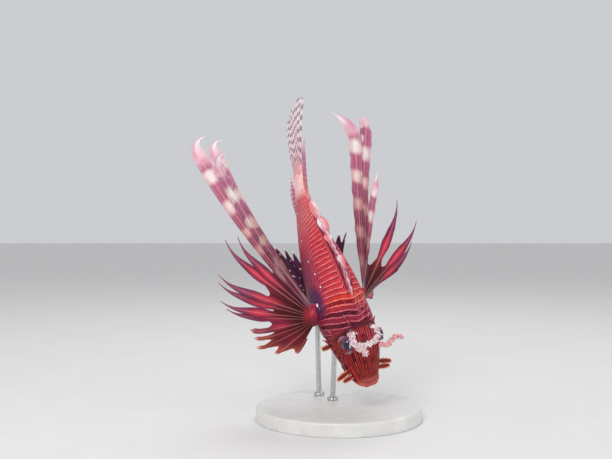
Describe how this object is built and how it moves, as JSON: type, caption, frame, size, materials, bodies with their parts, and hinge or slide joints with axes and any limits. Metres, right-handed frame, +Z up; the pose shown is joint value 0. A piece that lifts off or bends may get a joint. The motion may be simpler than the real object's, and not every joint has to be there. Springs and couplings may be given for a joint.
{
  "type": "red lionfish display model",
  "caption": "Life-size red lionfish, head down with long banded pectoral fins spread and dorsal spines folded, held on two rods over a round display base.",
  "frame": {"origin": "centre of the flat underside of the round stand base", "axes": "+Z up from the base; the snout points down and a little to +X, the tail points up, and the back of the fish faces -Y, towards the viewer of the picture"},
  "size_m": [0.1789, 0.1542, 0.2449],
  "materials": {
    "skin": "painted cast skin, red with thin pale lines, wet satin lacquer",
    "fin": "thin painted membrane with mauve and pale bands, satin",
    "spine": "painted spines banded red and white, satin",
    "frill": "thin painted skin flaps, satin",
    "eye": "dark glass eye, polished",
    "stand_base": "off-white cast acrylic, satin",
    "stand_rod": "drawn steel rod, brushed"
  },
  "bodies": {
    "root": {"head": "skin", "lower_jaw": "skin", "gill_cover_left": "skin", "gill_cover_right": "skin", "eye_left": "eye", "eye_right": "eye", "tentacle_left": "frill", "tentacle_right": "frill", "trunk": "skin", "tail_stem": "skin", "dorsal_fin_spiny": "spine", "dorsal_fin_soft": "fin", "anal_fin": "fin", "caudal_fin": "fin", "pelvic_fin_left": "fin", "pelvic_fin_right": "fin", "pectoral_fin_left": "fin", "pectoral_fin_right": "fin", "stand_base": "stand_base", "stand_rod_front": "stand_rod", "stand_rod_rear": "stand_rod"}
  },
  "joints": []
}
